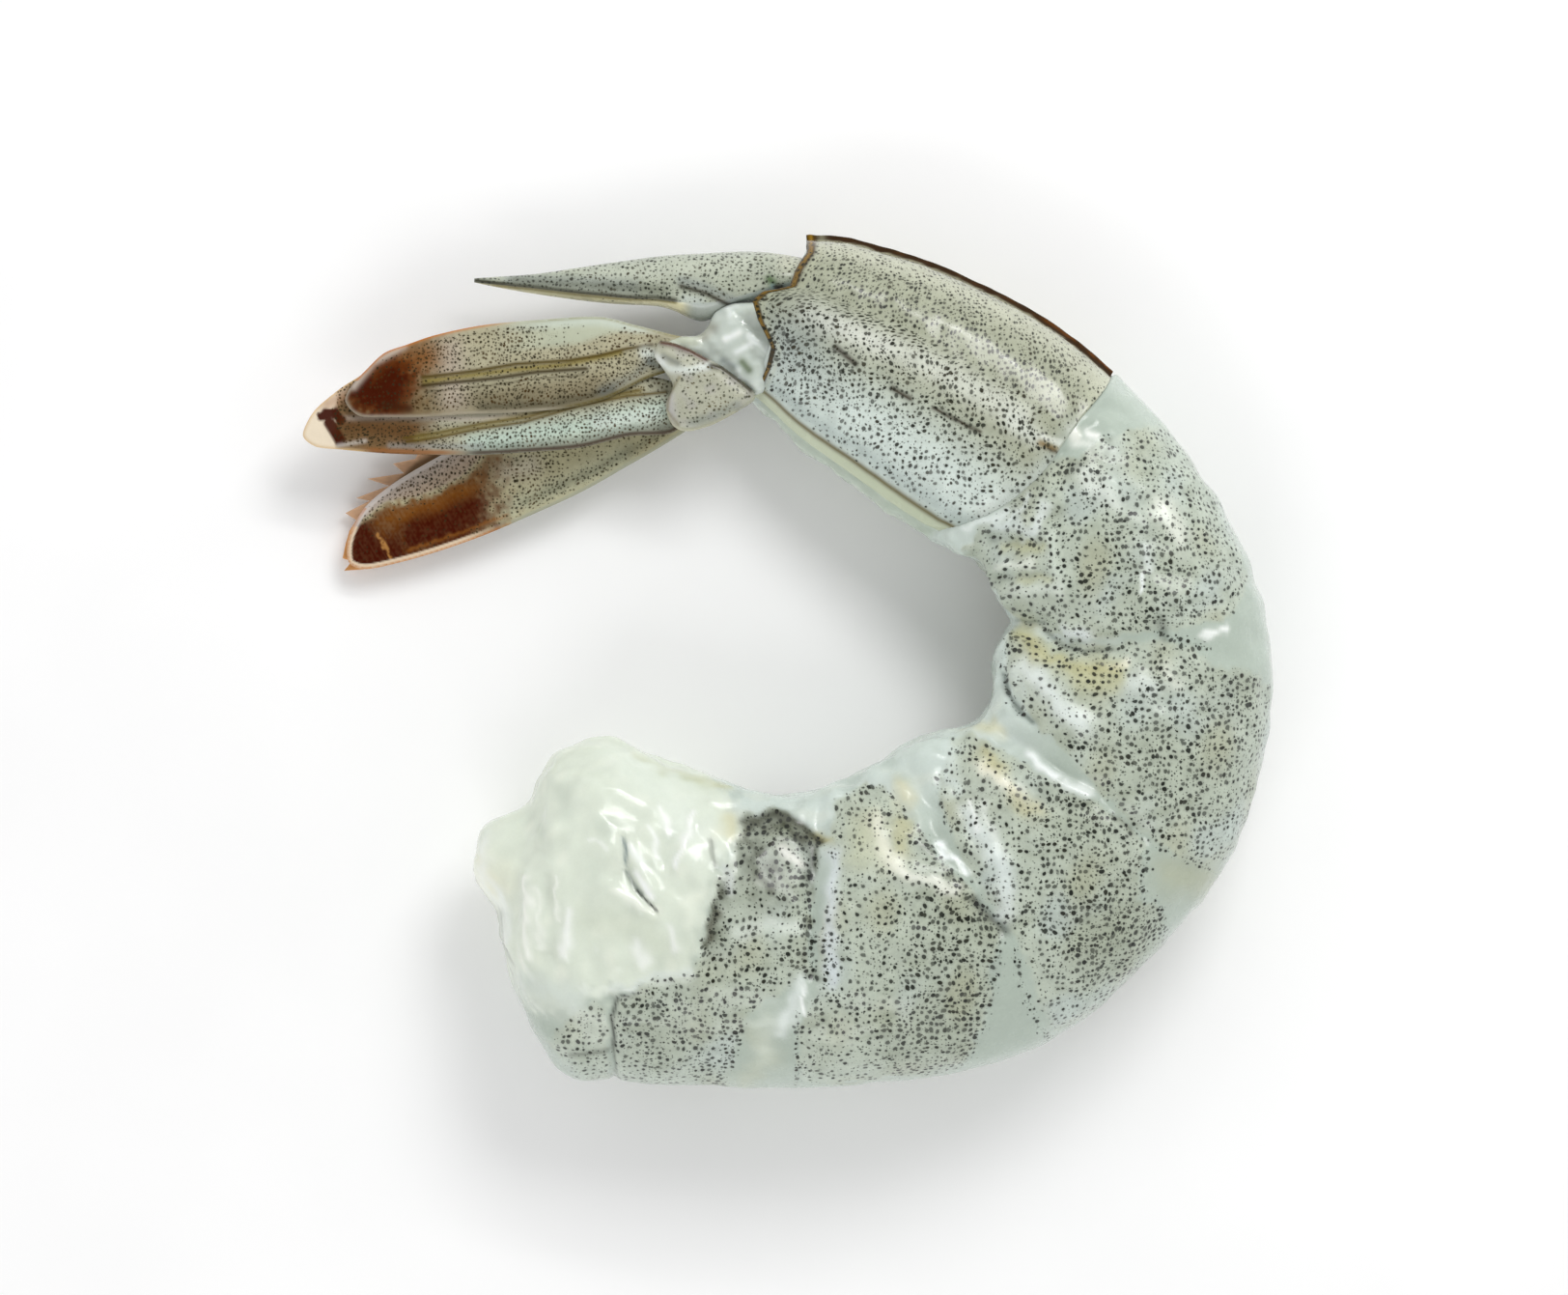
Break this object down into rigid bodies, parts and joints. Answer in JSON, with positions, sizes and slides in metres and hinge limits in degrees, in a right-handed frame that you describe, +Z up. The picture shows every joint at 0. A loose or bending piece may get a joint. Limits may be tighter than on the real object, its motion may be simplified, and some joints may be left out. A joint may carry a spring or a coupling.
{
  "type": "raw shrimp",
  "caption": "Raw peeled shrimp with its head off, curled on its side, with the last shell segment, tail spike and tail fan left on.",
  "frame": {"origin": "under the middle of the whole shrimp, on the surface it lies on", "axes": "+X away from the tips of the tail fan, towards the outside of the curl; +Y from the cut end's side of the curl towards the tail's side; +Z up, out of the side that shows"},
  "size_m": [0.0698, 0.0614, 0.0155],
  "materials": {
    "meat": "wet, slightly clear grey-green raw meat with dark speckles",
    "shell": "wet thin speckled shell with a dark brown back ridge",
    "spike": "wet speckled shell",
    "near_base": "wet speckled shell with dark edges",
    "near_inner_blade": "wet speckled blade, brown towards the tip",
    "near_outer_blade": "wet speckled blade, brown spot and cream tip",
    "far_base": "wet speckled shell",
    "far_inner_blade": "wet dark brown blade with a pale rim",
    "far_outer_blade": "brown blade with orange hair tufts"
  },
  "bodies": {
    "root": {"body": "meat", "tail_shell": "shell", "telson": "spike", "uropod_near_base": "near_base", "uropod_near_inner": "near_inner_blade", "uropod_near_outer": "near_outer_blade", "uropod_far_base": "far_base", "uropod_far_inner": "far_inner_blade", "uropod_far_outer": "far_outer_blade"}
  },
  "joints": []
}
